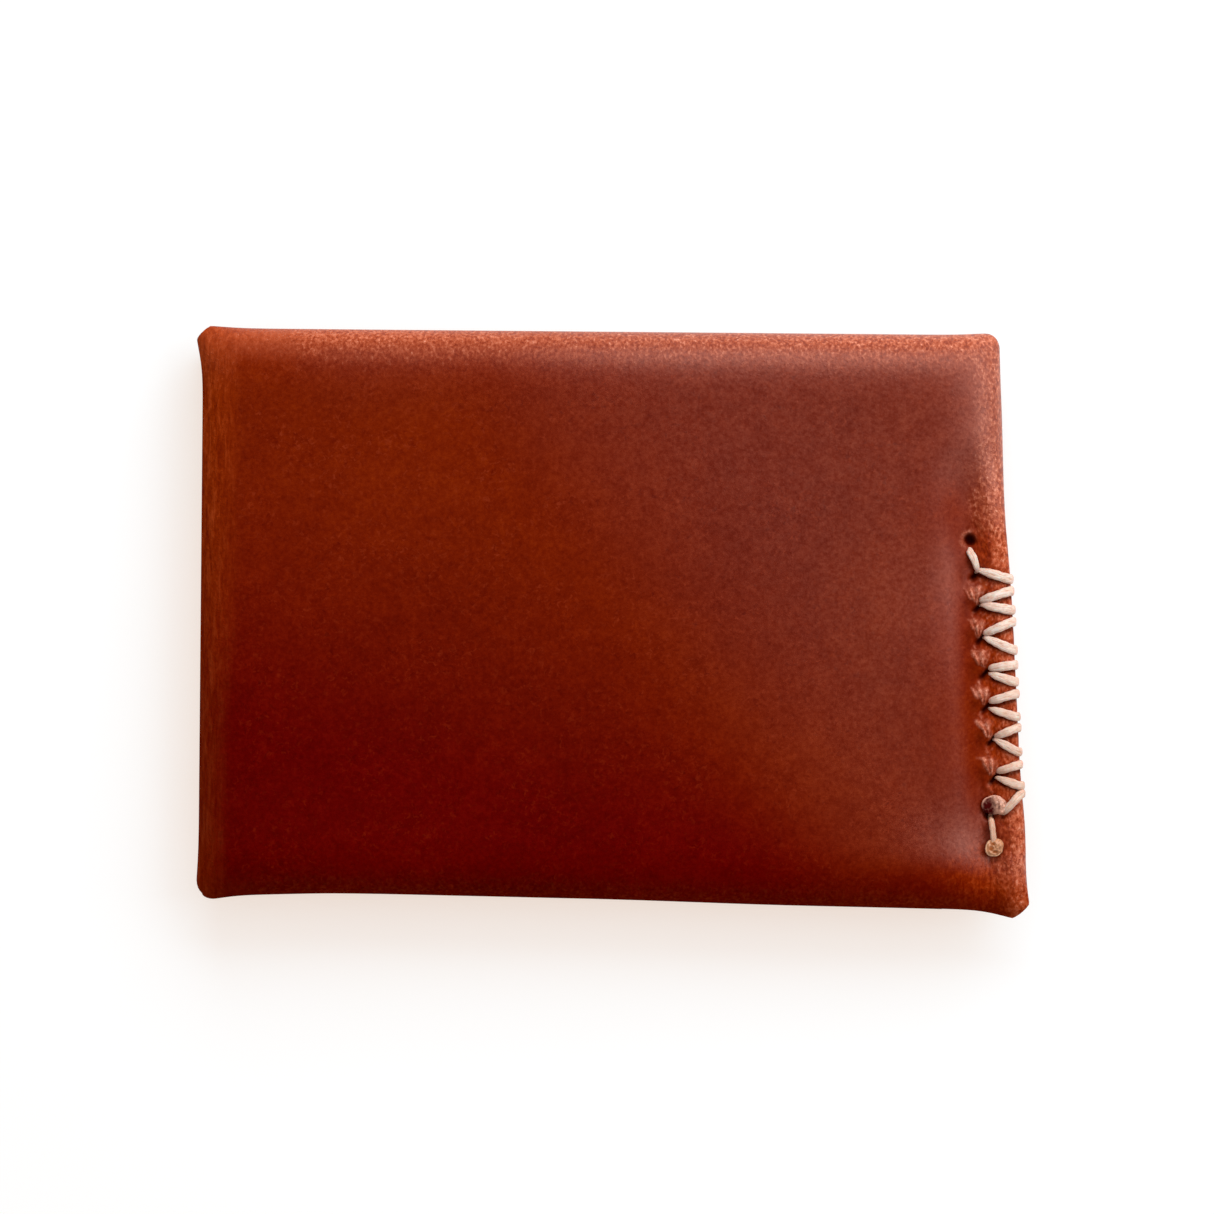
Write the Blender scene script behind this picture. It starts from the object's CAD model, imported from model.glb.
import math

import bpy
import numpy as np
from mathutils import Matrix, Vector


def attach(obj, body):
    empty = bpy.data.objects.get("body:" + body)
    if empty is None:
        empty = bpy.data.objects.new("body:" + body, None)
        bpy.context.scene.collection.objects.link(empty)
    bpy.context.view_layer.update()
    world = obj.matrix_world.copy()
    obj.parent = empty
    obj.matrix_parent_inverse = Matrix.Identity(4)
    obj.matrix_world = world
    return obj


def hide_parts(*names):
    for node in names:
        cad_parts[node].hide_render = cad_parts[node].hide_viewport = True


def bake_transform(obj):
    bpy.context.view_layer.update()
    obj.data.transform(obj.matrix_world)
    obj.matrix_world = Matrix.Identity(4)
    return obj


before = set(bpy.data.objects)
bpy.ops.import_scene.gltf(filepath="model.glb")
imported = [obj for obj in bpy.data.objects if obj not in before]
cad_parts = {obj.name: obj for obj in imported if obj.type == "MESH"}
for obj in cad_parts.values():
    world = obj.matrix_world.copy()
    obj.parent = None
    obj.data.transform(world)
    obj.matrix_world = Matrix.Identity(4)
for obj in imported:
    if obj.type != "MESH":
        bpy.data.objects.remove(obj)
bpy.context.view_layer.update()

MM = 0.001


# Sizes of the case, in millimetres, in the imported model's frame
LEATHER = 1.5
HEIGHT = 10.7
LEFT_X = -50.910
TOP_Y = 35.535
WIDTH_TOP, WIDTH_BOTTOM = 98.0, 102.0
DEPTH_LEFT, DEPTH_RIGHT = 69.3, 70.8
SIDE_MID, SIDE_R = 6.25, 4.45
HINGE_Y, HINGE_R = 30.185, 5.35
FRONT_OUT = 1.8
LAP_TOP, SEAM_Z, LAP_UNDER = 9.1, 7.6, 6.1
FIRST_Y = 10.135
FRONT_TOP = 13.535
SEAM_FADE = 10.0
STRIP_Y = 24.9
FRONT_FOOT, FRONT_FLAT = -30.6, 14.0
TAB_LENGTH, TAB_TAPER, TAB_R = 15.0, 4.0, 2.75
FLAP_END_Y, FLAP_TAPER, FLAP_CORNER = -10.465, 12.0, 9.0
# The fold turns with the flap below this height, and its lower half is drawn in by this much
FOLD_FREE, FOLD_SLACK = 6.2, 0.12
WORN_CORNER = (49.0, -31.0)

# Stitch holes down the seam: distance below the first hole and inset from the stitched edge
HOLES = ((0.0, 4.64), (4.05, 4.2), (8.1, 4.12), (11.95, 4.0), (16.25, 3.75),
         (20.35, 3.75), (24.45, 3.25), (29.1, 3.25), (32.65, 3.74), (37.9, 3.72))


def ease(f):
    g = np.clip(f, 0.0, 1.0)
    return g * g * (3.0 - 2.0 * g)


def hump(at, middle, spread):
    return np.exp(-((at - middle) / spread) ** 2)


def spot(x, y, middle, size):
    """A soft oval spot on the leather, 1 at its middle."""
    return hump(x, middle[0], size[0]) * hump(y, middle[1], size[1])


# The stitched and the bottom edges waver a little, as the hand-folded ones do
def right_x(y):
    straight = LEFT_X + WIDTH_TOP + (WIDTH_BOTTOM - WIDTH_TOP) * (TOP_Y - y) / DEPTH_RIGHT
    return straight - 0.36 * hump(y, 14.0, 7.0) + 0.27 * hump(y, -25.5, 5.0) + 0.2 * hump(y, -35.5, 2.5)


def bottom_y(x):
    straight = TOP_Y - DEPTH_LEFT - (DEPTH_RIGHT - DEPTH_LEFT) * (x - LEFT_X) / WIDTH_BOTTOM
    return straight - 0.48 * hump(x, -46.0, 8.5) - 0.22 * ease((x + 2.0) / 25.0) - 0.16 * hump(x, 50.0, 6.0)


# Photograph's frame: the pixel that the middle of the case falls on, its scale and its slight turn
PHOTO_SIDE = 1214
PHOTO_SCALE = 8.11
PHOTO_TURN = math.radians(0.5185)
PHOTO_MIDDLE = (606.8, 615.3)
CASE_MIDDLE = (-0.85, 0.508)


def on_rim_level(px, py):
    u = (px - PHOTO_MIDDLE[0]) / PHOTO_SCALE
    v = -(py - PHOTO_MIDDLE[1]) / PHOTO_SCALE
    c, s = math.cos(PHOTO_TURN), math.sin(PHOTO_TURN)
    return (u * c - v * s + CASE_MIDDLE[0], u * s + v * c + CASE_MIDDLE[1])


# Camera, straight above the case
CAMERA_HEIGHT = 450.0
look_at = on_rim_level(PHOTO_SIDE / 2, PHOTO_SIDE / 2)


def from_photo(px, py, z):
    """Place that a pixel of the photograph shows, for a point at height z."""
    x, y = on_rim_level(px, py)
    nearer = (CAMERA_HEIGHT + SIDE_MID - z) / CAMERA_HEIGHT
    return look_at[0] + (x - look_at[0]) * nearer, look_at[1] + (y - look_at[1]) * nearer


camera_data = bpy.data.cameras.new("overhead_camera")
camera_data.sensor_width = 36.0
camera_data.lens = 36.0 * CAMERA_HEIGHT / (PHOTO_SIDE / PHOTO_SCALE)
camera_data.clip_start, camera_data.clip_end = 0.01, 20.0
camera = bpy.data.objects.new("overhead_camera", camera_data)
camera.location = (look_at[0] * MM, look_at[1] * MM, (CAMERA_HEIGHT + SIDE_MID) * MM)
camera.rotation_euler = (0.0, 0.0, PHOTO_TURN)
bpy.context.scene.collection.objects.link(camera)
bpy.context.scene.camera = camera
bpy.context.scene.view_settings.view_transform = "Standard"


# Helpers for node materials
class Finish:
    def __init__(self, name):
        self.material = bpy.data.materials.new(name)
        self.material.use_nodes = True
        self.tree = self.material.node_tree
        self.tree.nodes.clear()
        self.shader = self.add("ShaderNodeBsdfPrincipled")
        self.join(self.shader, "BSDF", self.add("ShaderNodeOutputMaterial"), "Surface")

    def add(self, kind, **values):
        node = self.tree.nodes.new(kind)
        for key, value in values.items():
            setattr(node, key, value)
        return node

    def join(self, a, out, b, into):
        self.tree.links.new(a.outputs[out], b.inputs[into])

    def feed(self, value, socket):
        """Links an output to a socket, or sets the socket's own number, vector or colour."""
        if isinstance(value, tuple) and socket.type == "RGBA":
            socket.default_value = (*value, 1.0)
        elif isinstance(value, (int, float, tuple)):
            socket.default_value = value
        else:
            self.tree.links.new(value, socket)

    def set(self, name, value):
        self.feed(value, self.shader.inputs[name])

    def place(self, scale=(1000.0, 1000.0, 1000.0), shift=(0.0, 0.0, 0.0), turn=0.0, source="Object"):
        mapping = self.add("ShaderNodeMapping")
        mapping.inputs["Scale"].default_value = scale
        mapping.inputs["Location"].default_value = shift
        mapping.inputs["Rotation"].default_value = (0.0, 0.0, turn)
        self.join(self.add("ShaderNodeTexCoord"), source, mapping, "Vector")
        return mapping

    def noise(self, where, scale, detail=3.0, rough=0.55, warp=0.0):
        node = self.add("ShaderNodeTexNoise")
        for key, number in (("Scale", scale), ("Detail", detail), ("Roughness", rough), ("Distortion", warp)):
            node.inputs[key].default_value = number
        self.join(where, "Vector", node, "Vector")
        return node.outputs["Fac"]

    def cells(self, where, scale):
        node = self.add("ShaderNodeTexVoronoi")
        node.inputs["Scale"].default_value = scale
        self.join(where, "Vector", node, "Vector")
        return node.outputs["Distance"]

    def mask(self, name):
        node = self.add("ShaderNodeAttribute", attribute_name=name, attribute_type="GEOMETRY")
        return node.outputs["Fac"]

    def math(self, kind, a, b, clamp=False):
        node = self.add("ShaderNodeMath", operation=kind, use_clamp=clamp)
        self.feed(a, node.inputs[0])
        self.feed(b, node.inputs[1])
        return node.outputs[0]

    def times(self, a, b, clamp=False):
        return self.math("MULTIPLY", a, b, clamp)

    def total(self, *parts):
        """Sum of values, each times its share."""
        value = self.times(*parts[0])
        for part in parts[1:]:
            value = self.math("ADD", value, self.times(*part))
        return value

    def spread(self, value, low, high, to_low=0.0, to_high=1.0):
        node = self.add("ShaderNodeMapRange", clamp=True)
        self.feed(value, node.inputs["Value"])
        for key, number in (("From Min", low), ("From Max", high), ("To Min", to_low), ("To Max", to_high)):
            node.inputs[key].default_value = number
        return node.outputs["Result"]

    def ramp(self, value, stops):
        node = self.add("ShaderNodeValToRGB")
        while len(node.color_ramp.elements) < len(stops):
            node.color_ramp.elements.new(0.5)
        for element, (at, colour) in zip(node.color_ramp.elements, stops):
            element.position = at
            element.color = (*colour, 1.0)
        self.feed(value, node.inputs["Fac"])
        return node.outputs["Color"]

    def blend(self, share, a, b):
        node = self.add("ShaderNodeMix", data_type="RGBA")
        for key, value in ((0, share), (6, a), (7, b)):
            self.feed(value, node.inputs[key])
        return node.outputs[2]

    def bump(self, height, strength, distance, normal=None):
        node = self.add("ShaderNodeBump")
        for key, value in (("Height", height), ("Strength", strength), ("Distance", distance)):
            self.feed(value, node.inputs[key])
        if normal is not None:
            self.feed(normal, node.inputs["Normal"])
        return node.outputs["Normal"]


# Warm tint of the sheen on waxed leather
WAX_TINT = (1.0, 0.60, 0.50)


def waxed_leather():
    f = Finish("waxed_leather_grain")
    where = f.place()
    clouds = f.noise(where, 0.055, 3.0, 0.5)
    mottle = f.noise(where, 0.5, 4.0, 0.6)
    grain = f.noise(where, 2.1, 4.0, 0.62)
    patch = f.spread(f.noise(f.place(shift=(13.0, 2.0, 8.0)), 0.16, 3.0, 0.6), 0.40, 0.62, 0.25, 1.0)
    fleck = f.spread(f.noise(f.place(shift=(31.0, 7.0, 3.0)), 1.6, 3.0, 0.62, 0.8), 0.54, 0.70)
    fleck = f.times(fleck, patch)
    blot = f.spread(f.noise(f.place(shift=(3.0, 41.0, 5.0)), 1.35, 3.0, 0.6, 0.6), 0.42, 0.30)
    blot = f.times(blot, patch)
    granule = f.noise(f.place((1150.0, 780.0, 1000.0), (5.0, 19.0, 11.0)), 2.3, 2.0, 0.5, 0.3)
    uneven = f.spread(f.mask("calm_grain"), 0.0, 1.0, 1.0, 0.25)
    granule = f.math("ADD", f.times(f.math("SUBTRACT", granule, 0.5), uneven), 0.5)
    speck = f.spread(f.cells(where, 2.6), 0.32, 0.05)
    streak = f.noise(f.place((1600.0, 280.0, 900.0)), 1.0, 4.0, 0.6, 0.6)
    stretch = f.mask("fold_stretch")
    glint = f.mask("rim_glint")
    pit = f.mask("hole_shade")
    dye = f.mask("dark_dye")

    # Flat leather, in its plain and its darker dye
    tone = f.total((mottle, 0.3), (clouds, 0.25), (grain, 0.5))
    field = f.ramp(tone, ((0.38, (0.122, 0.0066, 0.0004)), (0.53, (0.163, 0.0115, 0.0007)),
                          (0.70, (0.215, 0.020, 0.0012))))
    deep = f.ramp(tone, ((0.38, (0.074, 0.0002, 0.0001)), (0.53, (0.099, 0.0004, 0.0001)),
                         (0.70, (0.135, 0.0016, 0.0003))))
    field = f.blend(f.times(fleck, 0.55), field, (0.27, 0.034, 0.010))
    deep = f.blend(f.times(fleck, 0.5), deep, (0.185, 0.010, 0.0012))
    field = f.blend(f.times(blot, 0.5), field, (0.085, 0.002, 0.0003))
    deep = f.blend(f.times(blot, 0.5), deep, (0.05, 0.0003, 0.0002))

    # Leather stretched over the rims, rubbed bright or creased
    worn = f.total((granule, 0.8), (streak, 0.2), (speck, 0.12))
    bright_rim = f.ramp(worn, ((0.36, (0.27, 0.031, 0.006)), (0.50, (0.42, 0.078, 0.026)),
                               (0.62, (0.57, 0.155, 0.078)), (0.76, (0.82, 0.36, 0.24))))
    creased = f.total((granule, 0.4), (streak, 0.6))
    dull_rim = f.ramp(creased, ((0.36, (0.15, 0.008, 0.0003)), (0.50, (0.285, 0.027, 0.0008)),
                                (0.62, (0.42, 0.056, 0.009))))
    rim = f.blend(glint, dull_rim, bright_rim)
    ragged = f.math("ADD", stretch, f.spread(granule, 0.3, 0.7, -0.22, 0.22))
    pulled = f.times(ragged, f.spread(stretch, 0.0, 0.25), clamp=True)
    pulled = f.times(pulled, f.spread(dye, 0.0, 1.0, 1.0, 0.4))
    colour = f.blend(pulled, f.blend(dye, field, deep), rim)

    # Torn lips and dark pits along the seam
    pale = f.ramp(grain, ((0.36, (0.33, 0.065, 0.026)), (0.50, (0.49, 0.14, 0.078)),
                          (0.66, (0.70, 0.30, 0.205))))
    torn = f.times(f.mask("hole_lip"), f.spread(granule, 0.3, 0.6, 0.5, 1.25), clamp=True)
    colour = f.blend(torn, colour, pale)
    f.set("Base Color", f.blend(pit, colour, (0.034, 0.0010, 0.0006)))

    f.set("Roughness", f.spread(f.total((grain, 0.6), (mottle, 0.4)), 0.3, 0.7, 0.36, 0.5))
    shine = f.times(f.mask("hand_polish"), f.spread(grain, 0.35, 0.65, 0.45, 0.8))
    f.set("Specular IOR Level", f.times(shine, f.spread(pit, 0.1, 0.7, 1.0, 0.0)))
    f.set("Specular Tint", WAX_TINT)
    skin = f.bump(f.total((grain, 0.5), (speck, 0.25)), 0.3, 0.0001)
    crinkle = f.total((granule, 0.8), (speck, 0.2), (streak, f.spread(glint, 0.0, 0.6, 0.9, 0.25)))
    f.set("Normal", f.bump(crinkle, f.times(stretch, 0.45, clamp=True), 0.0004, skin))
    return f.material


def raw_leather():
    f = Finish("leather_flesh_side")
    where = f.place()
    tone = f.total((f.noise(where, 1.6, 6.0, 0.7), 0.6), (f.noise(where, 0.12, 3.0, 0.5), 0.4))
    f.set("Base Color", f.ramp(tone, ((0.3, (0.11, 0.032, 0.012)), (0.55, (0.19, 0.066, 0.027)),
                                      (0.8, (0.29, 0.125, 0.058)))))
    f.set("Roughness", 0.88)
    f.set("Specular IOR Level", 0.1)
    f.set("Normal", f.bump(f.noise(where, 3.5, 6.0, 0.75), 0.6, 0.00025))
    return f.material


def cut_leather():
    f = Finish("leather_cut_edge")
    layers = f.noise(f.place((500.0, 500.0, 6000.0)), 1.0, 4.0, 0.6)
    f.set("Base Color", f.ramp(layers, ((0.3, (0.055, 0.006, 0.0015)), (0.6, (0.10, 0.014, 0.003)),
                                        (0.85, (0.16, 0.032, 0.008)))))
    f.set("Roughness", 0.6)
    f.set("Specular IOR Level", 0.12)
    f.set("Specular Tint", WAX_TINT)
    f.set("Normal", f.bump(layers, 0.4, 0.00015))
    return f.material


def waxed_thread(length):
    f = Finish("waxed_thread")
    fibre = f.noise(f.place((30.0, length / 1.2, 1.0), turn=0.04, source="UV"), 1.0, 3.0, 0.6, 0.4)
    wax = f.noise(f.place(), 2.2, 4.0, 0.6)
    body = f.ramp(f.total((fibre, 0.7), (wax, 0.3)),
                  ((0.34, (0.60, 0.30, 0.20)), (0.46, (0.76, 0.53, 0.42)), (0.56, (0.82, 0.66, 0.565)),
                   (0.68, (0.87, 0.79, 0.72))))
    body = f.blend(f.mask("thread_flank"), body, (0.88, 0.46, 0.34))
    f.set("Base Color", f.blend(f.mask("thread_stain"), body, (0.60, 0.30, 0.175)))
    f.set("Roughness", 0.55)
    f.set("Specular IOR Level", 0.3)
    f.set("Subsurface Weight", 0.4)
    f.set("Subsurface Radius", (0.0011, 0.0005, 0.00035))
    f.set("Normal", f.bump(fibre, 0.8, 0.00014))
    return f.material


def melted_thread(name, pale, core, crust):
    f = Finish(name)
    where = f.place()
    swirl = f.noise(where, 1.6, 4.0, 0.6, 1.0)
    depth = f.math("ADD", f.mask("melt_core"), f.spread(swirl, 0.35, 0.7, -0.12, 0.3), clamp=True)
    f.set("Base Color", f.blend(f.mask("melt_crust"), f.blend(depth, pale, core), crust))
    f.set("Roughness", 0.3)
    f.set("Specular IOR Level", f.spread(depth, 0.3, 0.9, 0.45, 0.1))
    f.set("Subsurface Weight", 0.12)
    f.set("Subsurface Radius", (0.001, 0.0006, 0.0004))
    f.set("Normal", f.bump(f.noise(where, 2.4, 3.0, 0.5), 0.45, 0.0002))
    return f.material


GRAIN = waxed_leather()
FLESH = raw_leather()
CUT = cut_leather()


# Helpers for pieces
def deselect():
    if bpy.context.object and bpy.context.object.mode != "OBJECT":
        bpy.ops.object.mode_set(mode="OBJECT")
    bpy.ops.object.select_all(action="DESELECT")


def pick(*objects):
    deselect()
    for o in objects:
        o.select_set(True)
    bpy.context.view_layer.objects.active = objects[0]


def ruled_sheet(name, points):
    """A grid primitive whose points are moved onto the given surface, rows by columns."""
    rows, cols = points.shape[:2]
    deselect()
    bpy.ops.mesh.primitive_grid_add(x_subdivisions=cols - 1, y_subdivisions=rows - 1, size=1.0)
    piece = bpy.context.object
    piece.name = piece.data.name = name
    flat = np.empty(len(piece.data.vertices) * 3)
    piece.data.vertices.foreach_get("co", flat)
    flat = flat.reshape(-1, 3)
    j = np.rint((flat[:, 0] + 0.5) * (cols - 1)).astype(int)
    i = np.rint((flat[:, 1] + 0.5) * (rows - 1)).astype(int)
    piece.data.vertices.foreach_set("co", (points[i, j] * MM).astype(np.float32).ravel())
    piece.data.update()
    return piece


def join(first, *others):
    pick(first, *others)
    bpy.ops.object.join()
    return first


def thicken(piece, depth):
    """Gives a sheet its leather: grain outside, flesh inside, cut faces along its edges."""
    pick(piece)
    for material in (GRAIN, FLESH, CUT):
        piece.data.materials.append(material)
    bpy.ops.object.modifier_add(type="SOLIDIFY")
    wall = piece.modifiers[-1]
    wall.thickness = depth * MM
    wall.offset = -1.0
    wall.use_even_offset = False
    wall.material_offset = 1
    wall.material_offset_rim = 2
    bpy.ops.object.modifier_apply(modifier=wall.name)


def smooth(piece, degrees=40.0):
    pick(piece)
    bpy.ops.object.shade_smooth_by_angle(angle=math.radians(degrees))


def coordinates(piece):
    flat = np.empty(len(piece.data.vertices) * 3, np.float32)
    piece.data.vertices.foreach_get("co", flat)
    return flat.reshape(-1, 3).astype(float) / MM


def move_to(piece, points):
    piece.data.vertices.foreach_set("co", (points * MM).astype(np.float32).ravel())
    piece.data.update()


def paint(piece, name, values):
    layer = piece.data.attributes.new(name, "FLOAT", "POINT")
    layer.data.foreach_set("value", np.asarray(values, np.float32))


# Shape of the case
EARS = (((LEFT_X, TOP_Y), (1, -1), 1.0, 0.35, 1.8, 0.0),
        ((LEFT_X + WIDTH_TOP, TOP_Y), (-1, -1), 0.15, 0.25, 0.3, 1.9),
        ((LEFT_X + WIDTH_BOTTOM, TOP_Y - DEPTH_RIGHT), (-1, 1), 0.4, 1.05, 1.7, 0.0),
        ((LEFT_X, TOP_Y - DEPTH_LEFT), (1, 1), 0.3, 0.9, 0.0, 2.4))
EAR_RUN = 4.0


def cornered(p):
    """Draws the four folded corners out, and cuts or rounds their tips."""
    p = p.copy()
    for corner, way, side, deep, cut, bend in EARS:
        dx = way[0] * (p[..., 0] - corner[0])
        dy = way[1] * (p[..., 1] - corner[1])
        short = np.maximum(0.0, cut - dx - dy) / 2.0
        reach_x = side * np.exp(-(dy / EAR_RUN) ** 2) * np.exp(-(0.6 * dx / EAR_RUN) ** 2)
        reach_y = deep * np.exp(-(dx / EAR_RUN) ** 2) * np.exp(-(0.6 * dy / EAR_RUN) ** 2)
        gap_x, gap_y = np.clip(bend - dx, 0.0, bend), np.clip(bend - dy, 0.0, bend)
        far = np.hypot(gap_x, gap_y)
        pull = np.maximum(0.0, far - bend) / np.maximum(far, 1e-9)
        p[..., 0] += way[0] * (short - reach_x + pull * gap_x)
        p[..., 1] += way[1] * (short - reach_y + pull * gap_y)
    return p


def along(points, shares):
    """Points at these shares of the length of a smooth curve through the given points."""
    points = np.array(points, float)
    ends = np.vstack((2 * points[0] - points[1], points, 2 * points[-1] - points[-2]))
    f = np.linspace(0.0, 1.0, 24, endpoint=False)[:, None]
    line = []
    for k in range(1, len(ends) - 2):
        a, b, c, d = ends[k - 1:k + 3]
        line.append(0.5 * (2 * b + (c - a) * f + (2 * a - 5 * b + 4 * c - d) * f ** 2
                           + (3 * b - a - 3 * c + d) * f ** 3))
    line = np.vstack(line + [ends[-2:-1]])
    run = np.concatenate(([0.0], np.cumsum(np.linalg.norm(np.diff(line, axis=0), axis=1))))
    run /= run[-1]
    return np.stack([np.interp(shares, run, line[:, k]) for k in range(line.shape[1])], axis=-1)


def soft_roll(reach, deep, count):
    """Inset and rise (0 to 1) of points evenly along a rolled edge whose shoulder fades into the flat."""
    u = np.linspace(0.0, 1.0, 600) ** 2
    rise = np.sqrt(1.0 - (1.0 - u) ** 3)
    run = np.concatenate(([0.0], np.cumsum(np.hypot(np.diff(u) * reach, np.diff(rise) * deep))))
    shares = np.linspace(0.0, run[-1], count)
    return np.interp(shares, run, u) * reach, np.interp(shares, run, rise)


QUARTER = np.radians(np.linspace(0.0, 90.0, 15))
LEFT_REACH, BOTTOM_REACH, TOP_REACH, RIGHT_REACH = 8.5, 8.0, 10.0, 11.0
LEFT_IN, LEFT_RISE = soft_roll(LEFT_REACH, SIDE_R, 24)
BOTTOM_IN, BOTTOM_RISE = soft_roll(BOTTOM_REACH, SIDE_R, 24)
TOP_IN, TOP_RISE = soft_roll(TOP_REACH, HINGE_R, 34)
RIGHT_IN, RIGHT_RISE = soft_roll(RIGHT_REACH, SIDE_R, 30)
BLEND_IN = 12.0
RIGHT_SHARES = np.linspace(0.0, 1.0, 52)
SEWN = along(((BLEND_IN, HEIGHT), (10.2, 10.66), (8.6, 10.42), (7.2, 9.95), (6.0, 9.42), (5.0, 9.08),
              (4.0, 8.98), (3.0, 9.1), (2.0, 9.12), (1.1, 8.93), (0.4, 8.5), (0.05, 7.95), (0.0, 7.75)),
             RIGHT_SHARES)
PLAIN_ROLL = [(e, SIDE_MID + SIDE_R * r) for e, r in zip(RIGHT_IN[::-1], RIGHT_RISE[::-1])]
PLAIN = along([(BLEND_IN, HEIGHT)] + PLAIN_ROLL, RIGHT_SHARES)
MIDDLE = np.concatenate((np.linspace(0.015, 0.1, 6), np.linspace(0.13, 0.87, 18), np.linspace(0.9, 0.985, 6)))
COLUMNS = len(LEFT_IN) + len(MIDDLE) + len(RIGHT_SHARES)


def across(y):
    """Cross-section of the back at these y, rows by columns: x and z of every column, left to right."""
    left, right = len(LEFT_IN), len(LEFT_IN) + len(MIDDLE)
    x, z = np.empty_like(y), np.empty_like(y)
    x[:, :left] = LEFT_X + LEFT_IN
    z[:, :left] = SIDE_MID + SIDE_R * LEFT_RISE
    start, stop = LEFT_X + LEFT_REACH, right_x(y[:, left:right]) - BLEND_IN
    x[:, left:right] = start + (stop - start) * MIDDLE
    z[:, left:right] = HEIGHT
    dip = 1.0 - ease((y[:, right:] - FRONT_TOP) / SEAM_FADE)
    x[:, right:] = right_x(y[:, right:]) - PLAIN[:, 0] - (SEWN[:, 0] - PLAIN[:, 0]) * dip
    z[:, right:] = PLAIN[:, 1] + (SEWN[:, 1] - PLAIN[:, 1]) * dip
    return x, z


def back_surface():
    mean_width = (WIDTH_TOP + WIDTH_BOTTOM) / 2
    middle = LEFT_REACH + MIDDLE * (mean_width - BLEND_IN - LEFT_REACH)
    near = LEFT_X + np.concatenate((LEFT_IN, middle, mean_width - PLAIN[:, 0]))
    foot = bottom_y(near)
    rows = []
    for inset, rise in zip(BOTTOM_IN[:-1], BOTTOM_RISE[:-1]):
        y = foot + inset
        x, z = across(y[None, :])
        rows.append(np.stack((x[0], y, SIDE_MID + (z[0] - SIDE_MID) * rise), axis=-1))
    shoulder = foot + BOTTOM_REACH
    for f in np.concatenate((np.linspace(0.0, 0.76, 170), np.linspace(0.77, 1.0, 20))):
        y = shoulder + (STRIP_Y - shoulder) * f
        x, z = across(y[None, :])
        rows.append(np.stack((x[0], y, z[0]), axis=-1))
    return np.stack(rows)


raw_back = back_surface()
FRONT_ROWS = [i for i in range(len(raw_back)) if FRONT_FOOT <= raw_back[i, 0, 1] <= FRONT_TOP + 0.1]


def front_surface():
    rise = along(((FRONT_FLAT, FRONT_OUT), (10.6, FRONT_OUT + 0.05), (9.4, 2.3), (8.2, 3.4), (7.0, 4.8),
                  (5.9, 5.8), (4.9, 6.08), (3.0, LAP_UNDER), (1.2, 6.12), (0.35, 6.35), (0.0, 7.0),
                  (0.0, 7.4)), np.linspace(0.0, 1.0, 34))
    rows = []
    for i in FRONT_ROWS:
        y = raw_back[i, 0, 1]
        side = [(LEFT_X + SIDE_R * (1 - math.cos(a)), y, SIDE_MID - SIDE_R * math.sin(a)) for a in QUARTER]
        flat = [(LEFT_X + SIDE_R + (right_x(y) - FRONT_FLAT - LEFT_X - SIDE_R) * f, y, FRONT_OUT)
                for f in np.linspace(0.04, 0.96, 16)]
        sewn = [(right_x(y) - e, y, z) for e, z in rise]
        rows.append((side + flat + sewn)[::-1])
    return np.array(rows)


def tab_surface():
    low, high = LEFT_X + SIDE_R + 0.4, right_x(FRONT_FOOT) - 10.0
    near = raw_back[0, :, 0]
    x = near[(near >= low) & (near <= high)]
    f = (x - x[0]) / (x[-1] - x[0])
    rows = []
    for d in np.linspace(TAB_LENGTH, TAB_R + 0.2, 14):
        pull = TAB_TAPER * ease((d - TAB_LENGTH + 4.0) / 4.0)
        drawn_x = x + pull * (1 - 2 * f)
        rows.append(np.stack((drawn_x, bottom_y(drawn_x) + d, np.full_like(x, SIDE_MID - TAB_R)), axis=-1))
    for a in QUARTER[::-1]:
        rows.append(np.stack((x, bottom_y(x) + TAB_R * (1 - math.cos(a)),
                              np.full_like(x, SIDE_MID - TAB_R * math.sin(a))), axis=-1))
    return np.stack(rows)


def grain_side(piece):
    """Which points of a thickened sheet lie on its grain side."""
    side = np.zeros(len(piece.data.vertices), bool)
    for face in piece.data.polygons:
        if face.material_index == 0:
            side[list(face.vertices)] = True
    return side


def dark_dye(x, y, side, foot):
    """Darker dye towards the lower left and along the bottom rim, worn off at the lower right corner."""
    right = np.maximum(x + 3.0, 0.0)
    start = 14.7 - 0.3 * np.minimum(x + 3.0, 0.0) - 1.08 * right
    dye = np.clip((0.024 + 0.0009 * right) * (start - y), 0.0, 1.0)
    dye = np.maximum(0.4 * dye + 0.6 * ease(dye), 0.2 * ease((x + 28.0) / 25.0) * ease((34.0 - x) / 18.0))
    rim = 0.8 * ease((8.0 - foot) / 5.5) * ease((side - 1.2) / 3.0)
    return np.maximum(dye, rim) * (1.0 - 0.7 * spot(x, y, WORN_CORNER, (6.0, 3.6)))


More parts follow.
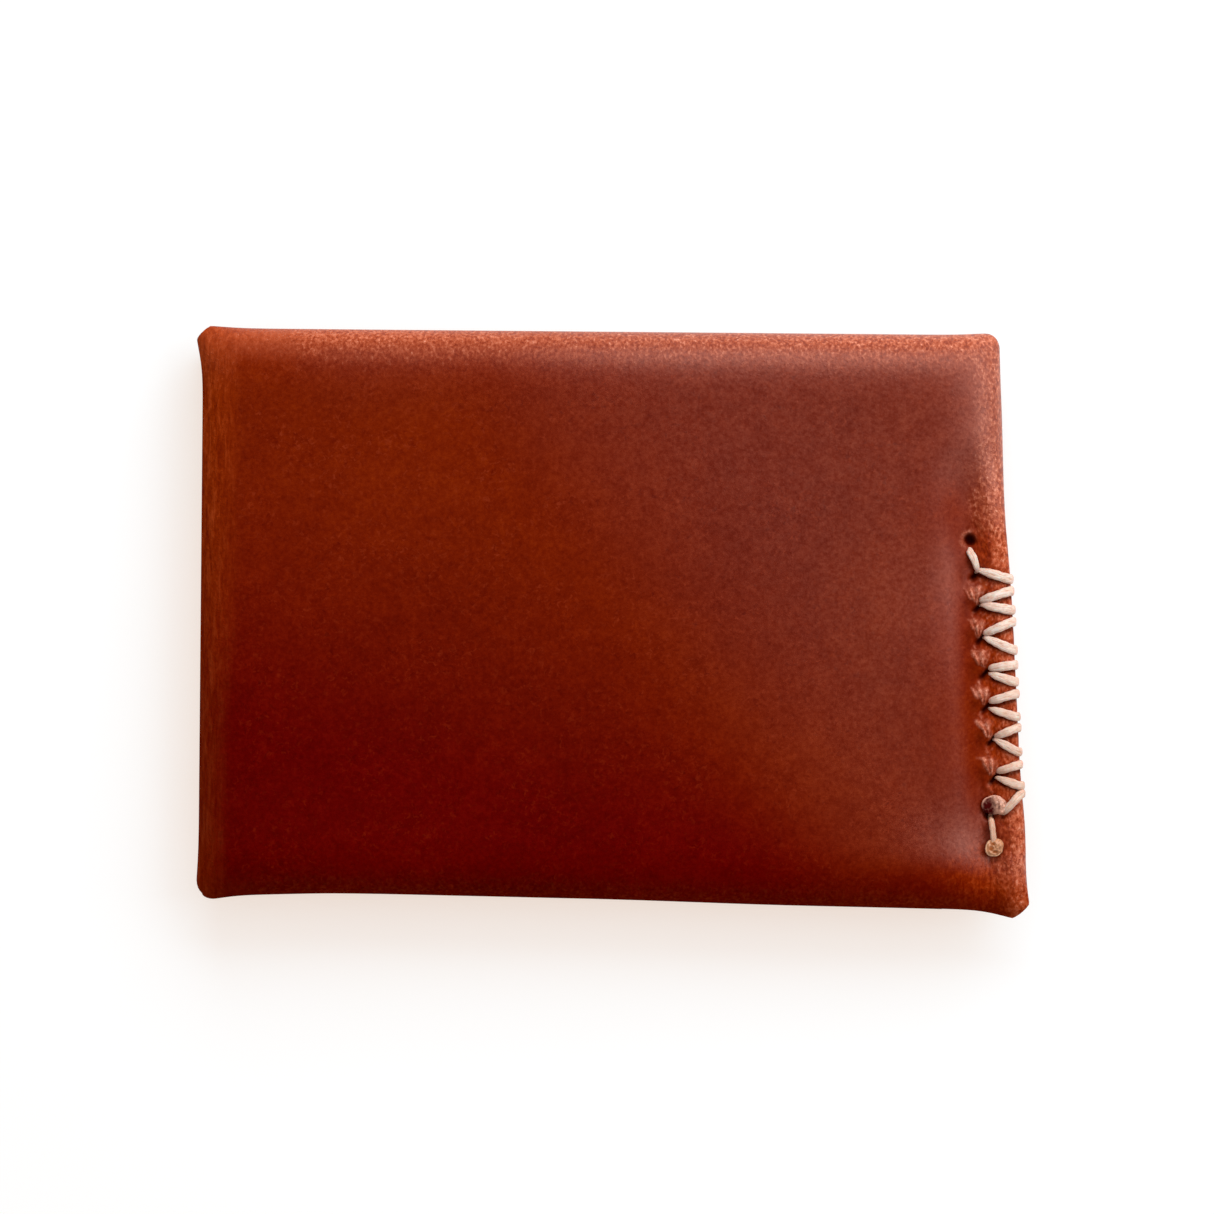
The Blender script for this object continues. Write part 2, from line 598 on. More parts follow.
def hand_polish(x, y, side, foot, head, sewn, lip):
    """Sheen from handling: over the upper right, along the top rim and round the seam, dulled in its dip."""
    polish = 0.02 + 0.91 * ease((x + 0.8 * y + 2.0) / 40.0)
    polish = np.maximum(polish, (0.585 + 0.0107 * x) * ease(1.0 - head / 6.0))
    polish = np.maximum(polish, 0.24 * ease((x + 45.0) / 15.0) * ease(1.0 - head / 15.0))
    edge = (0.85 + 0.35 * ease((y - 14.0) / 6.0)) * np.clip(1.15 - side / 11.0, 0.0, 1.0)
    polish = np.maximum(polish, edge)
    polish += 0.5 * ease((y - 13.0) / 6.0) * ease(1.0 - side / 4.5)
    polish += 0.35 * spot(side, y, (5.5, 18.5), (3.0, 4.0))
    covered = np.maximum(ease((y + 27.5) / 4.5), ease((4.2 - side) / 1.5) * ease((y + 30.0) / 3.0))
    polish *= 1.0 - sewn * covered * (0.35 * ease((11.5 - side) / 3.0) + 0.6 * ease((8.2 - side) / 2.2))
    polish *= 1.0 - 0.8 * spot(x, y, (41.3, 13.6), (3.6, 4.2))
    polish *= 1.0 - 0.55 * spot(x, y, (42.5, -12.0), (5.5, 8.0))
    polish += 0.42 * spot(x, y, (42.5, 6.0), (4.2, 4.5))
    polish += 0.75 * spot(x, y, (43.2, -26.4), (6.0, 4.2))
    polish *= 1.0 - 0.12 * spot(x, y, (41.0, -3.0), (6.0, 8.0))
    polish += 0.4 * np.maximum(lip - 0.45, 0.0)
    polish *= ease((foot + 0.25 * np.maximum(x - 42.5, 0.0) - 4.2) / 4.2) * ease((x - LEFT_X) / 5.0)
    return np.clip(polish, 0.0, 2.0)


def rim_glint(x, y, side, foot, head, sewn):
    """Where a stretched rim is rubbed bright: the top, the stitched edge and the lap."""
    low = (1.0 - ease((y + 19.0) / 4.0)) * (0.22 + 0.45 * ease((-28.0 - y) / 3.0))
    reach = 2.4 + 2.2 * ease((y - 9.0) / 6.0)
    glint = np.maximum.reduce((ease((x + 62.0) / 30.0) * ease(1.0 - head / 9.0),
                               ease((6.0 - side) / 2.0) * (1.0 - sewn),
                               0.85 * sewn * ease((2.9 - side) / 1.6),
                               ease((reach - side) / 1.6) * ease((y - 4.0) / 4.0),
                               low * ease((5.0 - side) / 2.5)))
    return glint * np.maximum(ease((foot - 2.0) / 4.0), 0.6 * ease((3.5 - side) / 2.0))


def calm_grain(x, y):
    """Where the stretched grain is smooth: along the left rim and the left end of the top rim."""
    top = np.maximum(ease((-36.0 - x) / 6.0), 0.3 * ease((8.0 - x) / 20.0)) * ease((y - 28.0) / 4.0)
    return np.maximum(top, (0.7 + 0.3 * ease((-3.0 - y) / 15.0)) * ease((-43.0 - x) / 3.0))


def leather_masks(piece, p, is_outer, stretch, shade, lip):
    """Where the grain is stretched over a fold, dyed darker, polished by handling, or sunk into a hole."""
    x, y = p[:, 0], p[:, 1]
    upper = p[:, 2] > 5.0
    side, foot, head = right_x(y) - x, y - bottom_y(x), TOP_Y - y
    sewn = 1.0 - ease((y - FRONT_TOP + 4.5) / 6.0)
    paint(piece, "hole_lip", np.where(is_outer, lip, 0.0))
    paint(piece, "rim_glint", np.where(is_outer & upper, rim_glint(x, y, side, foot, head, sewn), 0.1))
    paint(piece, "fold_stretch", np.where(is_outer, np.clip(stretch, 0.0, 1.0), 0.0))
    paint(piece, "hole_shade", np.where(is_outer, shade, 0.0))
    paint(piece, "dark_dye", np.where(upper, dark_dye(x, y, side, foot), 0.35))
    paint(piece, "hand_polish", np.where(upper, hand_polish(x, y, side, foot, head, sewn, lip), 0.6))
    paint(piece, "calm_grain", np.where(upper, calm_grain(x, y), 0.3))


def seam_place(p):
    return FIRST_Y - p[..., 1], right_x(p[..., 1]) - p[..., 0]


# Top strands of the thread in the photograph's pixels, from hole to edge: the climb, then the return
CLIMB = ((998, 778, 1027, 786), (996, 740, 1024, 752), (991, 709, 1023, 717), (991, 674, 1021, 682),
         (986, 638, 1018, 650), (983, 605, 1016, 610), (979, 570, 1013, 579))
RETURN = ((982, 600, 1014, 591), (986, 633, 1017, 622), (991, 668, 1020, 665), (991, 701, 1021, 694),
          (997, 736, 1023, 728), (999, 771, 1026, 765), (1003, 813, 1027, 794))
# Middles of the torn lips that stand up beside the second to the seventh of the holes with crossing strands
LIPS = ((974, 597), (976, 629), (980, 660), (980, 697), (983, 730), (987, 767))


def seam_spot(px, py, z=LAP_TOP):
    """Distance down the seam and inset of what a pixel of the photograph shows."""
    x, y = from_photo(px, py, z)
    return FIRST_Y - y, right_x(y) - x


STRANDS = [(seam_spot(*s[:2]), seam_spot(*s[2:])) for s in CLIMB + RETURN]
LIP_SPOTS = [seam_spot(*spot) for spot in LIPS]
END_BEAD, KNOT_BEAD = seam_spot(994.7, 847.8, 9.5), seam_spot(994.5, 805.0, 9.5)
STITCH_TOP, STITCH_END, KNOT_HOLE = seam_spot(991.5, 821.0), seam_spot(993.6, 840.0), seam_spot(990.0, 815.5)


def ripple(a, b):
    """Small even unevenness of hand-worked leather, from crossing waves, about -1 to 1."""
    return (np.sin(5.1 * a + 2.3 * b + 0.7) + np.sin(-3.7 * a + 4.9 * b + 2.1)
            + np.sin(7.9 * a - 6.3 * b + 4.0) + np.sin(2.2 * a + 8.7 * b + 5.2)) / 3.0


def pucker(p):
    """Pits at the holes, lips beside them and the thread's beds across the lap: drop, shade and lip."""
    s, q = seam_place(p)
    drop, shade, lip = np.zeros_like(s), np.zeros_like(s), np.zeros_like(s)
    for k, (hole_s, hole_q) in enumerate(HOLES):
        ds, dq = s - hole_s, q - hole_q
        r2 = ds ** 2 + dq ** 2
        fan = np.sin(17.0 * np.arctan2(dq - 0.43, 0.35 - ds) + 2.1 * k)
        if k == 0:
            ring = np.exp(-((np.sqrt(r2) - 1.05) / 0.3) ** 2) * (0.6 + 0.4 * ripple(0.9 * s, 0.9 * q))
            drop += 0.9 * np.exp(-(r2 / 0.66 ** 2) ** 2) + 0.3 * np.exp(-r2 / 1.5 ** 2) - 0.1 * ring
            shade = np.maximum(shade, np.exp(-(r2 / 0.72 ** 2) ** 2))
            lip = np.maximum(lip, 0.5 * ring * ease(0.6 + 0.6 * dq - 0.5 * ds))
            continue
        if k > 7:
            drop += 0.75 * np.exp(-(r2 / 0.55 ** 2) ** 1.5) + 0.3 * np.exp(-r2 / 1.6 ** 2)
            shade = np.maximum(shade, np.exp(-(r2 / 0.5 ** 2) ** 1.5))
            continue
        run = 0.73 * (ds - 0.2) + 0.68 * (dq - 0.15)
        wide = 0.68 * (ds - 0.2) - 0.73 * (dq - 0.15)
        slot = np.exp(-(run / 0.95) ** 4 - (wide / (0.3 + 0.1 * run)) ** 2)
        drop += 0.75 * slot + 0.3 * np.exp(-r2 / 1.6 ** 2)
        shade = np.maximum(shade, slot)
        if k > 1:
            lip_s, lip_q = LIP_SPOTS[k - 2]
            bent_s = s - lip_s + 0.2 * ripple(0.5 * s, 0.5 * q)
            down = np.clip((bent_s + 1.15) / 2.3, 0.0, 1.0)
            bent_q = q - lip_q - (hole_q + 0.2 - lip_q) * down + 0.24 * ripple(0.45 * s + 3.0, 0.5 * q)
            half = 0.3 + 1.05 * (1.0 - down) ** 0.7
            shield = ease((half - np.abs(bent_q)) / 0.5) * ease((bent_s + 1.5) / 0.7)
            shield *= ease((1.35 - bent_s) / 0.35)
            swell = np.exp(-((s - lip_s) / 1.1) ** 2 - ((q - lip_q) / 1.05) ** 2)
            drop -= 0.36 * swell + shield * (0.1 + 0.12 * fan)
            lip = np.maximum(lip, shield * (0.66 + 0.34 * fan))
        curl = np.hypot(ds - 1.15, dq - 0.35)
        curl = np.exp(-((curl - 0.55) / 0.2) ** 2) * ease((dq - 0.25) / 0.3) * ease((ds - 0.4) / 0.4)
        curl *= 0.5 + 0.5 * ripple(0.9 * s, 0.9 * q)
        drop -= 0.12 * curl
        lip = np.maximum(lip, 0.45 * curl)
        gutter = np.exp(-((ds - 0.4) / 1.3) ** 2 - ((dq - 1.75) / 0.55) ** 2)
        drop += 0.1 * gutter
        shade = np.maximum(shade, 0.3 * gutter)
    below_knot = (s - KNOT_HOLE[0]) ** 2 + (q - KNOT_HOLE[1]) ** 2
    drop += 0.7 * np.exp(-(below_knot / 0.62 ** 2) ** 1.5)
    shade = np.maximum(shade, np.exp(-(below_knot / 0.62 ** 2) ** 1.5))
    for (s0, q0), (s1, q1) in STRANDS:
        run_s, run_q = s1 - s0, q1 - q0
        f = np.clip(((s - s0) * run_s + (q - q0) * run_q) / (run_s ** 2 + run_q ** 2), 0.0, 1.15)
        off_s, off_q = s - s0 - f * run_s, q - q0 - f * run_q
        drop += 0.30 * np.exp(-(off_s ** 2 + off_q ** 2) / 0.62 ** 2)
        under = np.exp(-((off_s - 0.62) / 0.26) ** 2 - (off_q / 0.4) ** 2)
        shade = np.maximum(shade, 0.8 * under)
    lap = ease((6.2 - q) / 2.0)
    pebble = ripple(1.2 * s, 1.3 * q)
    drop += lap * (0.045 * pebble + 0.07 * ripple(0.45 * s + 2.0, 0.5 * q + 1.0))
    rubbed = (0.16 + 0.26 * ease((16.0 - s) / 8.0)) * ease((4.6 - q) / 1.0) * ease((30.0 - s) / 2.0)
    lip = np.maximum(lip, rubbed * ease((s - 2.0) / 3.0) * ease(-pebble))
    return drop, shade, lip


def split_seam(piece):
    """Splits the grain-side faces along the seam, so that its lips and creases have points enough."""
    pick(piece)
    bpy.ops.object.mode_set(mode="EDIT")
    bpy.ops.mesh.select_mode(type="FACE")
    bpy.ops.mesh.select_all(action="DESELECT")
    bpy.ops.object.mode_set(mode="OBJECT")
    for face in piece.data.polygons:
        x, y, z = face.center / MM
        inset, below = right_x(y) - x, FIRST_Y - y
        face.select = face.material_index == 0 and z > SEAM_Z and inset < 7.0 and -1.5 < below < 40.0
    bpy.ops.object.mode_set(mode="EDIT")
    bpy.ops.mesh.subdivide(number_cuts=1)
    bpy.ops.mesh.select_mode(type="VERT")
    bpy.ops.object.mode_set(mode="OBJECT")


def leather_case():
    back = ruled_sheet("leather_case", cornered(raw_back))
    front = ruled_sheet("leather_front", cornered(front_surface()))
    tab = ruled_sheet("leather_tab", tab_surface())
    piece = join(back, front, tab)
    bpy.ops.object.mode_set(mode="EDIT")
    bpy.ops.mesh.select_all(action="SELECT")
    bpy.ops.mesh.remove_doubles(threshold=0.00002)
    bpy.ops.object.mode_set(mode="OBJECT")
    thicken(piece, LEATHER)
    split_seam(piece)
    p = coordinates(piece)
    is_outer = grain_side(piece)
    s, q = seam_place(p)
    top = is_outer & (p[:, 2] > SEAM_Z + 0.1) & (q < 11.0) & (s > -6.0) & (s < 44.0)
    drop, shade, lip = pucker(p)
    drawn_in = 0.7 * hump(p[:, 1], -26.0, 6.0) + 0.35 * hump(p[:, 1], 3.5, 6.5)
    drawn_in *= ease((16.5 - q) / 9.0) * ease((q - 1.5) / 4.5)
    p[:, 2] -= np.where(p[:, 2] > SEAM_Z, drawn_in, 0.0)
    p[top, 2] -= drop[top]
    move_to(piece, p)

    left = p[:, 0] - LEFT_X
    foot = p[:, 1] - bottom_y(p[:, 0])
    stretch = ease(1.0 - left / (6.5 - 1.4 * ease((5.0 - p[:, 1]) / 22.0)))
    stretch = np.maximum(stretch, 0.28 * ease(1.0 - foot / 4.5))
    plain_rim = 0.9 * np.clip(1.0 - q / 6.0, 0.0, 1.0) ** (2.0 - 0.8 * hump(p[:, 1], 13.5, 4.0))
    below = ease((s - 33.0) / 4.0)
    lap = (0.55 - 0.25 * below) * ease((5.0 - q) / 1.8) + (0.45 + 0.25 * below) * ease((3.2 - q) / 2.2)
    sewn = 1.0 - ease((p[:, 1] - FRONT_TOP + 5.0) / 6.0)
    stretch = np.maximum(stretch, plain_rim * (1.0 - sewn) + lap * sewn)
    stretch = np.maximum(stretch, 0.75 * spot(p[:, 0], p[:, 1], WORN_CORNER, (7.0, 3.6)))
    leather_masks(piece, p, is_outer, stretch, np.where(top, shade, 0.0), np.where(top, lip, 0.0))
    smooth(piece, 55.0)
    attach(piece, "case")
    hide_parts("back_panel", "front_panel", "bottom_tab")


def flap_surface():
    """Rows round the fold along the top edge and down the outer face of the flap to its free end."""
    roll_y = np.concatenate(([STRIP_Y], TOP_Y - TOP_IN[::-1]))
    rise = np.concatenate(([1.0], TOP_RISE[::-1]))
    x, z = across(np.repeat(roll_y[:, None], COLUMNS, axis=1))
    rows = [np.stack((x[k], np.full(COLUMNS, roll_y[k]), HINGE_R + (z[k] - HINGE_R) * rise[k]), axis=-1)
            for k in range(len(roll_y))]
    end_x = x[-1]
    for a in np.radians(np.linspace(0.0, -90.0, 24))[1:]:
        r = HINGE_R + FOLD_SLACK * math.sin(2.0 * a)
        rows.append(np.stack((end_x, np.full(COLUMNS, HINGE_Y + r * math.cos(a)),
                              np.full(COLUMNS, HINGE_R + r * math.sin(a))), axis=-1))
    low, high = end_x[0], end_x[-1]
    share = (end_x - low) / (high - low)
    corner_y = FLAP_END_Y + FLAP_CORNER
    rounded = FLAP_END_Y + FLAP_CORNER * (1 - np.sin(np.radians(np.linspace(6.0, 90.0, 16))))
    for y in np.concatenate((np.linspace(HINGE_Y - 1.0, corner_y, 26), rounded)):
        f = (HINGE_Y - y) / (HINGE_Y - FLAP_END_Y)
        past = max(0.0, corner_y - y)
        inset = FLAP_TAPER * f + FLAP_CORNER - math.sqrt(max(0.0, FLAP_CORNER ** 2 - past ** 2))
        rows.append(np.stack((low + inset + (high - low - 2 * inset) * share, np.full(COLUMNS, y),
                              np.zeros(COLUMNS)), axis=-1))
    return np.stack(rows)


def leather_flap():
    """The fold along the top edge and the flap, in one sheet that bends at the fold."""
    piece = ruled_sheet("leather_flap", cornered(flap_surface()))
    thicken(piece, LEATHER)
    p = coordinates(piece)
    left, right, top = p[:, 0] - LEFT_X, right_x(p[:, 1]) - p[:, 0], TOP_Y - p[:, 1]
    stretch = np.maximum.reduce((ease(1.0 - left / 6.5), 0.9 * np.clip(1.0 - right / 6.0, 0.0, 1.0) ** 2,
                                 np.minimum(1.0, np.exp(-(top - 1.0) / 1.85))))
    stretch = np.where(p[:, 2] > 4.0, stretch, np.exp(-top / 2.5))
    none = np.zeros(len(p))
    leather_masks(piece, p, grain_side(piece), stretch, none, none)
    smooth(piece)
    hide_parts("flap_fold", "flap")
    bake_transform(piece)


leather_case()
leather_flap()


# Thread: one winding, up the row and back down again
TOP, EDGE, UNDER, INSIDE = (0.0, 1.0), (-1.0, 0.0), (0.0, -1.0), (1.0, 0.2)


def thread_route():
    """Points of the winding: distance down the seam, inset, height, the side that faces out, and width."""
    route = []

    def to(s, q, z, out, wide=1.0):
        route.append((s, q, z, *out, wide))

    def over(strand, low, blunt):
        (s0, q0), (s1, q1) = strand

        def part(f):
            return s0 + f * (s1 - s0), q0 + f * (0.35 - q0)

        to(s1, 0.95, low, UNDER, 0.95)
        to(s1, 0.22, low + 0.75, (-0.7, -0.7))
        to(s1, 0.0, 7.75, EDGE, 1.05)
        to(s1, 0.22, 8.72, (-0.6, 0.8), 1.08)
        for f, z, wide in ((0.8, 9.22, 1.08), (0.55, 9.36, 1.04), (0.32, 9.24, 0.95), (0.14, 8.98, 0.74)):
            to(*part(f), z, TOP, wide + blunt * (1.0 - wide))
        to(s0, q0, 8.55, TOP, 0.45 + 0.3 * blunt)
        to(s0, q0 + 0.12, 7.7, INSIDE, 0.4)

    to(END_BEAD[0] - 0.3, END_BEAD[1], 8.95, TOP, 0.72)
    (s0, q0), (s1, q1) = STITCH_TOP, STITCH_END
    for f, z, wide in ((1.0, 9.15, 0.72), (0.6, 9.22, 0.74), (0.25, 9.12, 0.74), (0.0, 8.8, 0.68)):
        to(s0 + f * (s1 - s0), q0 + f * (q1 - q0), z, TOP, wide)
    to(s0 - 0.3, q0, 8.0, INSIDE, 0.7)
    hole = HOLES[8]
    for k, strand in enumerate(STRANDS[:len(CLIMB)]):
        to(hole[0] + 0.4, hole[1] + 0.1, 6.6, INSIDE, 0.8)
        to(hole[0] + 0.3, hole[1] - 0.7, 5.55, UNDER)
        over(strand, 5.5, 0.0)
        hole = HOLES[7 - k]
    first, hole = HOLES[0], HOLES[1]
    to(hole[0] + 0.3, hole[1] + 0.2, 6.6, INSIDE, 0.8)
    to(hole[0] - 0.6, hole[1] - 0.5, 5.55, UNDER)
    to(first[0] + 1.2, first[1], 5.55, UNDER)
    to(first[0] + 0.8, first[1], 6.6, INSIDE, 0.8)
    to(first[0] + 1.15, first[1] + 0.2, 8.3, INSIDE, 0.72)
    to(first[0] + 1.5, first[1] + 0.15, 9.0, TOP, 0.84)
    to(first[0] + 2.3, first[1] - 0.2, 9.22, TOP, 0.8)
    to(hole[0] - 0.75, hole[1] - 0.02, 9.0, TOP, 0.7)
    to(hole[0] - 0.3, hole[1] - 0.12, 8.3, INSIDE, 0.5)
    for k, strand in enumerate(STRANDS[len(CLIMB):]):
        to(hole[0] - 0.3, hole[1] + 0.1, 6.4, INSIDE, 0.8)
        to(hole[0] - 0.2, hole[1] - 0.7, 4.6, UNDER)
        over(strand, 4.55, 0.6)
        hole = HOLES[2 + k]
    return np.array(route)


# Below 1, the thread's section is squarer than an ellipse, as on a flat waxed thread
TAPE = 0.72


def thread_surface(route, half_wide, half_high, sides, step):
    """Rings along the route, flattened against the leather, with the lay of its twisted fibres."""
    y = FIRST_Y - route[:, 0]
    xyz = np.stack((right_x(y) - route[:, 1], y, route[:, 2]), axis=-1)
    out = np.stack((-route[:, 3], np.zeros(len(route)), route[:, 4]), axis=-1)
    length = np.linalg.norm(np.diff(xyz, axis=0), axis=1).sum() * 1.04
    both = along(np.hstack((xyz, out * 0.02, route[:, 5:] * 0.02)), np.linspace(0.0, 1.0, int(length / step)))
    line, out, wide = both[:, :3], both[:, 3:6], both[:, 6] / 0.02
    way = np.gradient(line, axis=0)
    way /= np.linalg.norm(way, axis=1)[:, None]
    out -= way * (out * way).sum(1)[:, None]
    out /= np.maximum(np.linalg.norm(out, axis=1), 1e-9)[:, None]
    beside = np.cross(way, out)
    run = np.concatenate(([0.0], np.cumsum(np.linalg.norm(np.diff(line, axis=0), axis=1))))
    angle = np.linspace(0.0, 2 * math.pi, sides + 1)
    turn = angle[None, :] + run[:, None] * 2 * math.pi / 9.0
    lay = 0.6 * np.cos(5 * turn) + 0.4 * np.cos(9 * turn + 1.0)
    size = 1.0 + 0.02 * lay + 0.04 * np.sin(run * 2.9)[:, None] + 0.03 * np.sin(run * 6.1 + 1.0)[:, None]
    thinner = 1.0 - 0.1 * ease((FIRST_Y - line[:, 1] - 14.0) / 10.0)
    width = (half_wide * wide * thinner)[:, None] * size
    depth = (half_high * (0.35 + 0.65 * wide))[:, None] * size
    flat_x = np.sign(np.cos(angle)) * np.abs(np.cos(angle)) ** TAPE
    flat_y = np.sign(np.sin(angle)) * np.abs(np.sin(angle)) ** TAPE
    rings = (line[:, None, :] + beside[:, None, :] * (width * flat_x)[..., None]
             + out[:, None, :] * (depth * flat_y)[..., None])
    return rings, run


def stitch_thread():
    rings, run = thread_surface(thread_route(), half_wide=0.55, half_high=0.36, sides=32, step=0.12)
    piece = ruled_sheet("stitch_thread", rings)
    p = coordinates(piece)
    s, q = seam_place(p)
    stain = 0.24 * ease((s - 12.0) / 12.0) + 0.12 * ease((s - 25.0) / 5.0) + 0.36 * ease((s - 32.6) / 2.0)
    stain += 0.35 * ease((q - 2.6) / 1.4) * ease((9.0 - p[:, 2]) / 0.4)
    paint(piece, "thread_stain", np.clip(stain, 0.0, 1.0))
    facing = np.empty(len(p) * 3, np.float32)
    piece.data.vertices.foreach_get("normal", facing)
    paint(piece, "thread_flank", 0.6 * ease((0.75 - np.abs(facing[2::3])) / 0.6))
    pick(piece)
    bpy.ops.object.mode_set(mode="EDIT")
    bpy.ops.mesh.select_all(action="SELECT")
    bpy.ops.mesh.remove_doubles(threshold=0.000002)
    bpy.ops.mesh.select_all(action="DESELECT")
    bpy.ops.mesh.select_non_manifold(extend=False)
    bpy.ops.mesh.fill_holes(sides=0)
    bpy.ops.mesh.select_all(action="SELECT")
    bpy.ops.mesh.normals_make_consistent(inside=False)
    bpy.ops.object.mode_set(mode="OBJECT")
    piece.data.materials.append(waxed_thread(run[-1]))
    smooth(piece, 60.0)
    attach(piece, "case")
    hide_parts("stitch_thread")


def bead_reach(way, lumps):
    """How far the joined lumps of a bead reach from its middle in each of these directions."""
    middle = np.array(lumps[0][:2])
    reach = np.zeros(len(way))
    for s, q, wide, high in lumps:
        size = np.array((wide, wide, high))
        shift = np.array((middle[1] - q, middle[0] - s, 0.0)) / size
        scaled = way / size
        a = (scaled ** 2).sum(1)
        b = (scaled * shift).sum(1)
        root = b * b - a * ((shift ** 2).sum() - 1.0)
        reach = np.maximum(reach, np.where(root > 0, (b + np.sqrt(np.maximum(root, 0.0))) / a, 0.0))
    return reach


def melted_bead(name, node, lumps, pools, crust_way, material):
    """A drop of melted thread: a ball drawn into lumps, with sunk pools, a thin crust and a flat foot."""
    deselect()
    bpy.ops.mesh.primitive_ico_sphere_add(subdivisions=6, radius=1.0)
    piece = bpy.context.object
    piece.name = piece.data.name = name
    flat = np.empty(len(piece.data.vertices) * 3)
    piece.data.vertices.foreach_get("co", flat)
    way = flat.reshape(-1, 3)
    p = way * bead_reach(way, lumps)[:, None]
    level = way * np.array((1.0, 1.0, 0.0)) + np.array((1e-6, 0.0, 0.0))
    level /= np.linalg.norm(level, axis=1)[:, None]
    share = np.hypot(p[:, 0], p[:, 1]) / bead_reach(level, lumps)
    top = p[:, 2] > 0.0
    middle = np.array(lumps[0][:2])
    s, q = middle[0] - p[:, 1], middle[1] - p[:, 0]
    core = np.zeros(len(p))
    for ps, pq, long, wide, deep, dark in pools:
        fall = np.exp(-(((s - ps) / long) ** 2 + ((q - pq) / wide) ** 2) ** 2)
        p[:, 2] -= deep * fall * top
        core = np.maximum(core, dark * fall)
    crust = np.exp(-((share - 0.94) / 0.06) ** 2) * top
    crust *= ease(crust_way[0] + level[:, 0] * crust_way[1] + level[:, 1] * crust_way[2])
    crease = ripple(1.5 * s, 1.5 * q)
    p[:, 2] += 0.09 * crust + 0.06 * top * (1.0 - core) * crease
    core = np.maximum(core, 0.3 * ease(-crease))
    y = FIRST_Y - middle[0]
    p += np.array((right_x(y) - middle[1], y, LAP_TOP - 0.12))
    p[:, 2] = np.maximum(p[:, 2], LAP_TOP - 0.55)
    move_to(piece, p)
    paint(piece, "melt_core", core)
    paint(piece, "melt_crust", crust)
    piece.data.materials.append(material)
    pick(piece)
    bpy.ops.object.shade_smooth()
    bpy.ops.object.modifier_add(type="SMOOTH")
    piece.modifiers[-1].iterations = 4
    bpy.ops.object.modifier_apply(modifier=piece.modifiers[-1].name)
    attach(piece, "case")
    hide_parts(node)


def end_bead():
    s, q = END_BEAD
    lumps = ((s, q, 1.1, 0.6), (s + 0.25, q + 0.3, 0.84, 0.62), (s - 0.3, q - 0.35, 0.8, 0.7))
    pools = ((s + 0.1, q + 0.4, 0.36, 0.3, 0.12, 1.0), (s + 0.5, q - 0.05, 0.2, 0.4, 0.08, 1.0),
             (s - 0.45, q + 0.2, 0.2, 0.3, 0.06, 1.0))
    amber = melted_thread("melted_thread_pale", (0.55, 0.25, 0.125), (0.29, 0.075, 0.018), (0.80, 0.50, 0.31))
    melted_bead("thread_end_bead_melt", "thread_end_bead", lumps, pools, (0.55, -0.6, -0.5), amber)


def knot_bead():
    s, q = KNOT_BEAD
    lumps = ((s, q, 1.2, 0.42), (s, q - 0.7, 0.85, 0.6), (s + 0.05, q + 0.5, 1.05, 0.36),
             (s - 0.3, q - 0.35, 0.85, 0.56), (s + 0.62, q - 0.85, 0.62, 0.52))
    pools = ((s + 0.6, q + 0.8, 1.9, 1.0, 0.14, 1.0), (s + 0.15, q - 0.5, 0.8, 0.16, 0.1, 0.4))
    brown = melted_thread("melted_thread_brown", (0.64, 0.32, 0.22), (0.058, 0.0015, 0.0012),
                          (0.66, 0.33, 0.24))
    melted_bead("thread_knot_bead_melt", "thread_knot_bead", lumps, pools, (0.05, -0.4, 0.9), brown)


stitch_thread()
end_bead()
knot_bead()


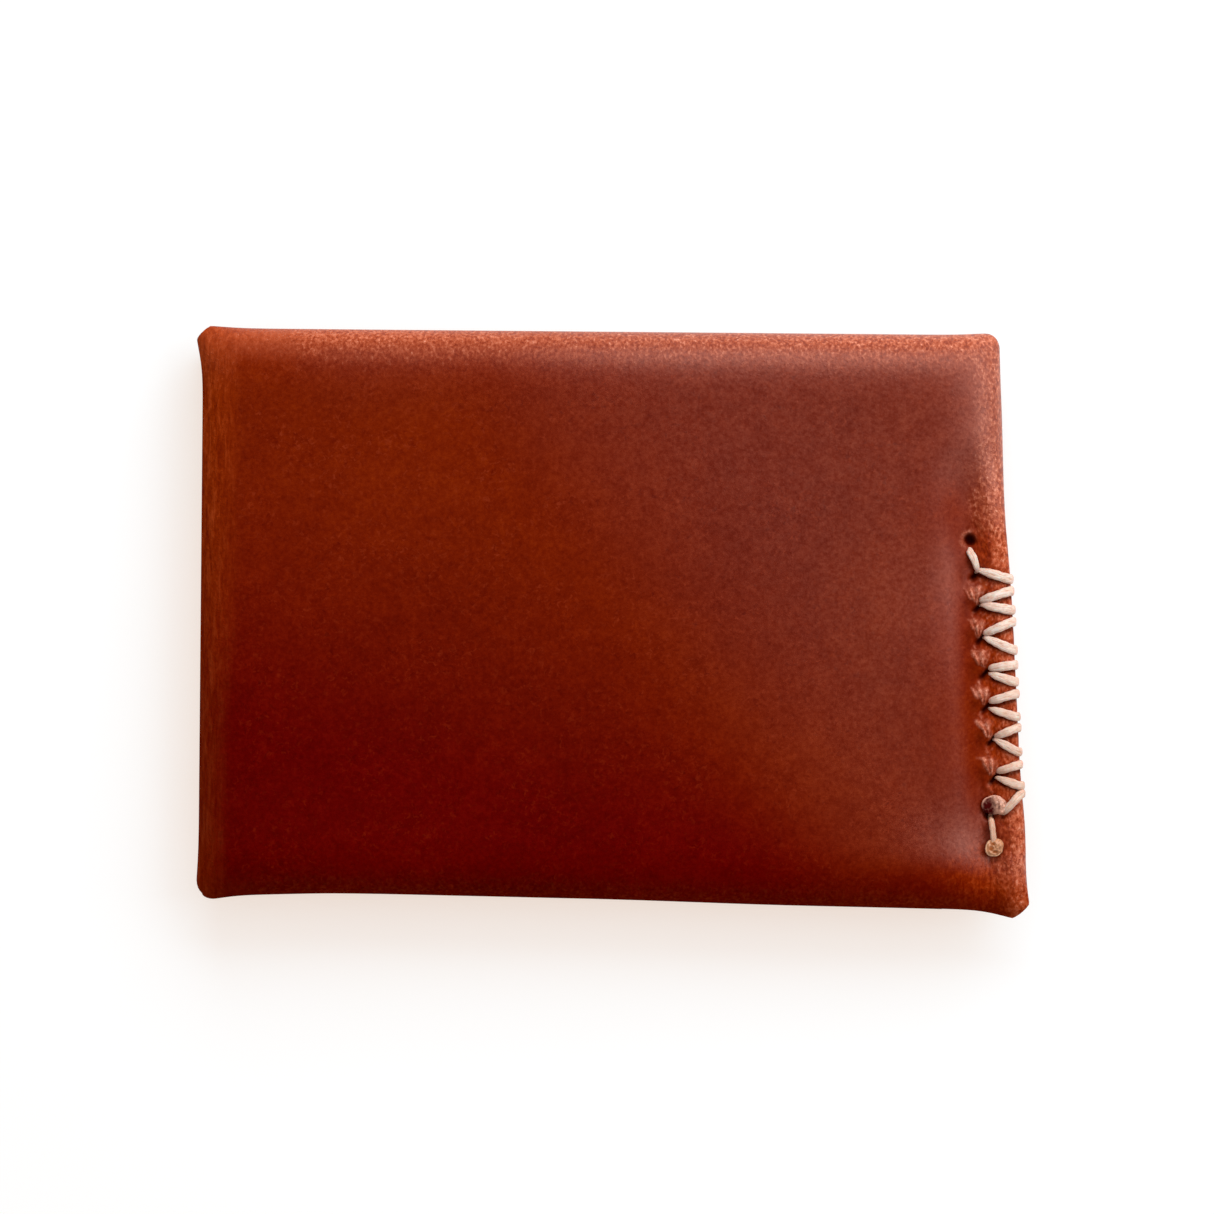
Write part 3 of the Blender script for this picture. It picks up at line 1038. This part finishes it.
# Floor, world and lamps
def pale_floor():
    """A plain floor that rays from the camera and from shiny surfaces see as white, with its shadow kept."""
    deselect()
    bpy.ops.mesh.primitive_plane_add(size=6.0, location=(0.0, 0.0, -0.00002))
    floor = bpy.context.object
    floor.name = "pale_floor"
    material = bpy.data.materials.new("pale_floor")
    material.use_nodes = True
    nodes, links = material.node_tree.nodes, material.node_tree.links
    nodes.clear()

    def tinted(kind, colour):
        node = nodes.new(kind)
        node.inputs["Color"].default_value = (*colour, 1.0)
        return node.outputs[0]

    def larger(a, b):
        node = nodes.new("ShaderNodeMath")
        node.operation = "MAXIMUM"
        links.new(a, node.inputs[0])
        links.new(b, node.inputs[1])
        return node.outputs[0]

    ray = nodes.new("ShaderNodeLightPath").outputs
    seen = nodes.new("ShaderNodeAddShader")
    links.new(tinted("ShaderNodeBsdfDiffuse", (0.27, 0.42, 0.52)), seen.inputs[0])
    links.new(tinted("ShaderNodeEmission", (0.75, 0.60, 0.50)), seen.inputs[1])
    choose = nodes.new("ShaderNodeMixShader")
    shiny = larger(ray["Is Glossy Ray"], ray["Is Transmission Ray"])
    links.new(larger(ray["Is Camera Ray"], shiny), choose.inputs[0])
    links.new(tinted("ShaderNodeBsdfDiffuse", (0.66, 0.65, 0.64)), choose.inputs[1])
    links.new(seen.outputs[0], choose.inputs[2])
    links.new(choose.outputs[0], nodes.new("ShaderNodeOutputMaterial").inputs["Surface"])
    floor.data.materials.append(material)


def soft_room():
    world = bpy.data.worlds.new("soft_room")
    bpy.context.scene.world = world
    world.use_nodes = True
    shade = world.node_tree.nodes["Background"]
    shade.inputs["Color"].default_value = (1.0, 1.0, 1.0, 1.0)
    shade.inputs["Strength"].default_value = 0.46
    world.cycles_visibility.glossy = False


def lamp_panel(name, place, wide, tall, watts, diffuse=True):
    """A lamp that faces the middle of the case."""
    data = bpy.data.lights.new(name, "AREA")
    data.shape = "RECTANGLE"
    data.size, data.size_y = wide, tall
    data.energy = watts
    lamp = bpy.data.objects.new(name, data)
    bpy.context.scene.collection.objects.link(lamp)
    lamp.location = place
    lamp.rotation_euler = (-Vector(place)).to_track_quat("-Z", "Y").to_euler()
    lamp.visible_diffuse = diffuse
    lamp.visible_camera = False


pale_floor()
soft_room()
lamp_panel("window", (0.14, 0.54, 0.40), 0.7, 0.4, 4.4)
lamp_panel("side_window", (0.46, 0.16, 0.44), 0.4, 0.5, 1.4)
lamp_panel("side_gloss", (0.5, 0.12, 0.36), 0.4, 0.5, 1.2, diffuse=False)
